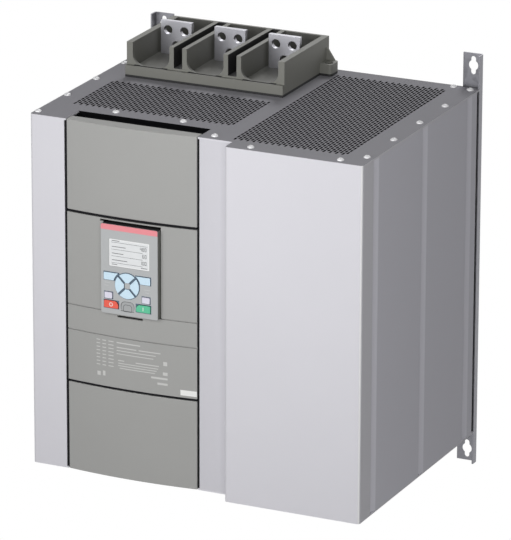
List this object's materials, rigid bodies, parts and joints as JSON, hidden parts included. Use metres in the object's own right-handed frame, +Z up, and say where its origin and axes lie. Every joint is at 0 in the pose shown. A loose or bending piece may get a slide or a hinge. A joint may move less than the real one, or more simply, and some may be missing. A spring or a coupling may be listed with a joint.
{
  "type": "soft starter",
  "caption": "Wall-mounted motor soft starter: folded sheet casing with punched top, bulged plastic covers, keypad, shrouded busbar terminals and keyhole rails.",
  "frame": {"origin": "centre of the four wall holes, on the wall plane", "axes": "+Z up, +X to the right seen from the front, front faces -Y"},
  "size_m": [0.435, 0.353, 0.541],
  "materials": {
    "casing_sheet": "smooth silver-grey powder coat",
    "plate_sheet": "silver-grey powder coat on punched sheet",
    "zinc_sheet": "zinc coated sheet",
    "rail_sheet": "zinc coated sheet",
    "screw_steel": "bright zinc plate",
    "black_plastic": "moulded, fine texture",
    "cover_plastic": "moulded, fine spark texture",
    "shroud_plastic": "moulded, fine texture",
    "keypad_plastic": "smooth moulding",
    "keypad_dark": "moulded",
    "stripe_red": "printed strip",
    "circuit_board": "solder resist",
    "display_dark": "metal and glass module",
    "display_clear": "clear pane over a light grey display",
    "key_blue": "soft rubber",
    "key_white": "soft rubber",
    "key_red": "soft rubber",
    "key_green": "soft rubber",
    "flap_plastic": "soft rubber",
    "socket_metal": "tinned steel",
    "busbar_metal": "tin plated copper",
    "heat_sink_metal": "extruded, as drawn",
    "block_plastic": "moulded resin",
    "core_blue": "cast resin",
    "fan_plastic": "moulded, glass filled",
    "contactor_plastic": "moulded",
    "coil_copper": "taped winding",
    "armature_dark": "moulded carrier on a laminated yoke",
    "terminal_green": "moulded"
  },
  "bodies": {
    "casing": {"left_side_panel": "casing_sheet", "front_post": "casing_sheet", "right_box_front": "casing_sheet", "right_side_panel": "casing_sheet", "top_plate": "plate_sheet", "bottom_plate": "plate_sheet", "back_pan": "zinc_sheet", "partition_plate": "zinc_sheet", "power_frame": "zinc_sheet", "left_rail": "rail_sheet", "right_rail": "rail_sheet", "casing_screws": "screw_steel", "foot_bolts": "screw_steel", "cover_frame": "black_plastic", "upper_cover": "cover_plastic", "middle_cover": "cover_plastic", "lower_cover": "cover_plastic", "line_shroud": "shroud_plastic", "load_shroud": "shroud_plastic", "keypad_housing": "keypad_plastic", "keypad_rear_shell": "keypad_dark", "keypad_stripe": "stripe_red", "keypad_board": "circuit_board", "control_board": "circuit_board", "display_module": "display_dark", "display_window": "display_clear", "port_socket": "socket_metal", "line_busbar_1": "busbar_metal", "line_busbar_2": "busbar_metal", "line_busbar_3": "busbar_metal", "load_busbar_1": "busbar_metal", "load_busbar_2": "busbar_metal", "load_busbar_3": "busbar_metal", "bypass_links": "busbar_metal", "heat_sink_1": "heat_sink_metal", "heat_sink_2": "heat_sink_metal", "heat_sink_3": "heat_sink_metal", "thyristor_block_1": "block_plastic", "thyristor_block_2": "block_plastic", "thyristor_block_3": "block_plastic", "current_transformers": "core_blue", "fan_frame_1": "fan_plastic", "fan_frame_2": "fan_plastic", "contactor_base": "contactor_plastic", "contactor_coil": "coil_copper", "control_terminals": "terminal_green"},
    "soft_key_left": {"soft_key_left": "key_blue"},
    "soft_key_right": {"soft_key_right": "key_blue"},
    "up_key": {"up_key": "key_blue"},
    "down_key": {"down_key": "key_blue"},
    "left_key": {"left_key": "key_blue"},
    "right_key": {"right_key": "key_blue"},
    "small_key_left": {"small_key_left": "key_white"},
    "small_key_right": {"small_key_right": "key_white"},
    "stop_key": {"stop_key": "key_red"},
    "start_key": {"start_key": "key_green"},
    "port_flap": {"port_flap": "flap_plastic"},
    "fan_rotor_1": {"fan_rotor_1": "fan_plastic"},
    "fan_rotor_2": {"fan_rotor_2": "fan_plastic"},
    "contactor_armature": {"contactor_armature": "armature_dark"}
  },
  "joints": [
    {"name": "soft_key_left_press", "type": "slide", "parent": "casing", "child": "soft_key_left", "axis": [0, 1, 0], "range_m": [0, 0.0008], "stiffness_N_per_m": 2000},
    {"name": "soft_key_right_press", "type": "slide", "parent": "casing", "child": "soft_key_right", "axis": [0, 1, 0], "range_m": [0, 0.0008], "stiffness_N_per_m": 2000},
    {"name": "up_key_press", "type": "slide", "parent": "casing", "child": "up_key", "axis": [0, 1, 0], "range_m": [0, 0.0008], "stiffness_N_per_m": 2000},
    {"name": "down_key_press", "type": "slide", "parent": "casing", "child": "down_key", "axis": [0, 1, 0], "range_m": [0, 0.0008], "stiffness_N_per_m": 2000},
    {"name": "left_key_press", "type": "slide", "parent": "casing", "child": "left_key", "axis": [0, 1, 0], "range_m": [0, 0.0008], "stiffness_N_per_m": 2000},
    {"name": "right_key_press", "type": "slide", "parent": "casing", "child": "right_key", "axis": [0, 1, 0], "range_m": [0, 0.0008], "stiffness_N_per_m": 2000},
    {"name": "small_key_left_press", "type": "slide", "parent": "casing", "child": "small_key_left", "axis": [0, 1, 0], "range_m": [0, 0.0008], "stiffness_N_per_m": 2000},
    {"name": "small_key_right_press", "type": "slide", "parent": "casing", "child": "small_key_right", "axis": [0, 1, 0], "range_m": [0, 0.0008], "stiffness_N_per_m": 2000},
    {"name": "stop_key_press", "type": "slide", "parent": "casing", "child": "stop_key", "axis": [0, 1, 0], "range_m": [0, 0.0008], "stiffness_N_per_m": 2000},
    {"name": "start_key_press", "type": "slide", "parent": "casing", "child": "start_key", "axis": [0, 1, 0], "range_m": [0, 0.0008], "stiffness_N_per_m": 2000},
    {"name": "port_flap_swing", "type": "hinge", "parent": "casing", "child": "port_flap", "pos_m": [-0.0852, -0.3426, -0.0036], "axis": [1, 0, 0], "range_deg": [0, 100]},
    {"name": "fan_rotor_1_spin", "type": "hinge", "parent": "casing", "child": "fan_rotor_1", "pos_m": [-0.132, -0.225, -0.2], "axis": [0, 0, 1], "continuous": true},
    {"name": "fan_rotor_2_spin", "type": "hinge", "parent": "casing", "child": "fan_rotor_2", "pos_m": [-0.032, -0.225, -0.2], "axis": [0, 0, 1], "continuous": true},
    {"name": "armature_slide", "type": "slide", "parent": "casing", "child": "contactor_armature", "axis": [0, 1, 0], "range_m": [0, 0.007], "stiffness_N_per_m": 1500}
  ]
}
